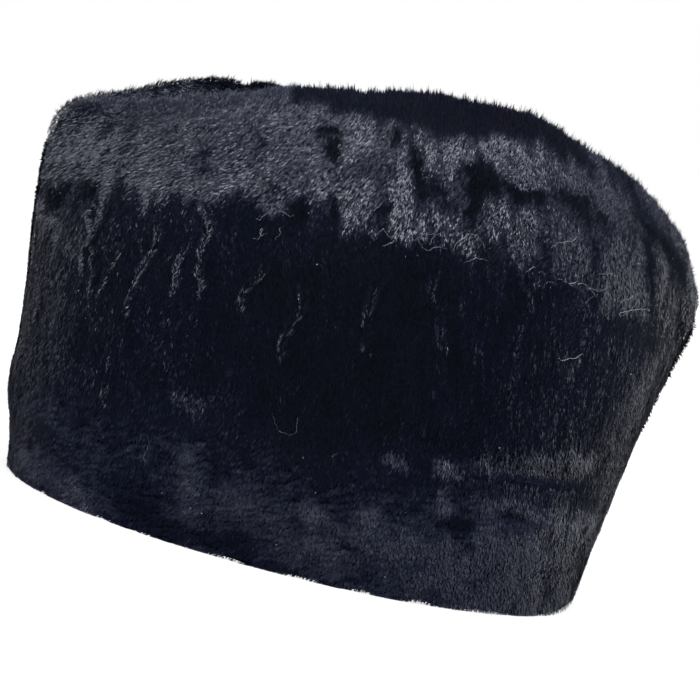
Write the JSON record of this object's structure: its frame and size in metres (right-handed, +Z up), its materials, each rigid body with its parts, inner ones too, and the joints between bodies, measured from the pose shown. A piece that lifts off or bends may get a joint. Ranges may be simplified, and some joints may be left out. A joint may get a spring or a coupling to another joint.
{
  "type": "karakul hat",
  "caption": "Fold-flat hat of black karakul pelt: oval rim, leaning side walls higher at the front, and a crown sunk as a valley between two ridges.",
  "frame": {"origin": "the middle of the hat's box, on the plane that the rim rests on", "axes": "+X to the front, where the hat is highest, +Y to the wearer's left, +Z up"},
  "size_m": [0.23, 0.174, 0.1557],
  "materials": {
    "pelt_right": "short moire-curled black pile with a blue sheen",
    "pelt_left": "short moire-curled black pile with a blue sheen",
    "pelt_crown": "short moire-curled black pile, darker in the fold"
  },
  "bodies": {
    "root": {"side_panel_right": "pelt_right", "side_panel_left": "pelt_left", "crown": "pelt_crown"}
  },
  "joints": []
}
